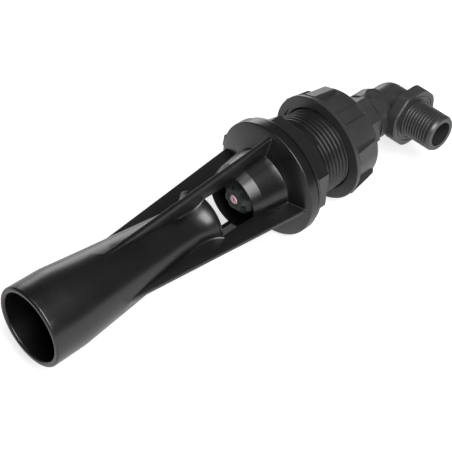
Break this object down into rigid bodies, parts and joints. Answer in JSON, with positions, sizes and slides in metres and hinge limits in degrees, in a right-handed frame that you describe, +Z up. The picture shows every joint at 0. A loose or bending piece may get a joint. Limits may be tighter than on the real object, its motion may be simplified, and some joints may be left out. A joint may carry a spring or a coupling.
{
  "type": "tank agitator nozzle",
  "caption": "Venturi mixing nozzle on a threaded bulkhead fitting with a ring nut and an elbow inlet, for stirring the liquid in a spray tank.",
  "frame": {"origin": "centre of the octagonal collar's back face, where the fitting seats on the tank wall", "axes": "+X along the nozzle from the tank to the outside, -Y along the elbow's inlet, +Z up"},
  "size_m": [0.2688, 0.0717, 0.0654],
  "materials": {
    "diffuser_plastic": "satin black moulded polypropylene",
    "fitting_plastic": "fine matt black moulded plastic",
    "cap_plastic": "matt dark grey-green moulded plastic",
    "ceramic": null,
    "seal_rubber": "matt black rubber"
  },
  "bodies": {
    "fitting": {"diffuser": "diffuser_plastic", "bulkhead_body": "fitting_plastic", "nozzle_cap": "cap_plastic", "orifice_disc": "ceramic", "orifice_seal": "seal_rubber", "elbow": "fitting_plastic", "elbow_seal": "seal_rubber"},
    "nut": {"ring_nut": "fitting_plastic"}
  },
  "joints": [
    {"name": "ring_nut_travel", "type": "slide", "parent": "fitting", "child": "nut", "axis": [1, 0, 0], "range_m": [-0.0175, 0.01]}
  ]
}
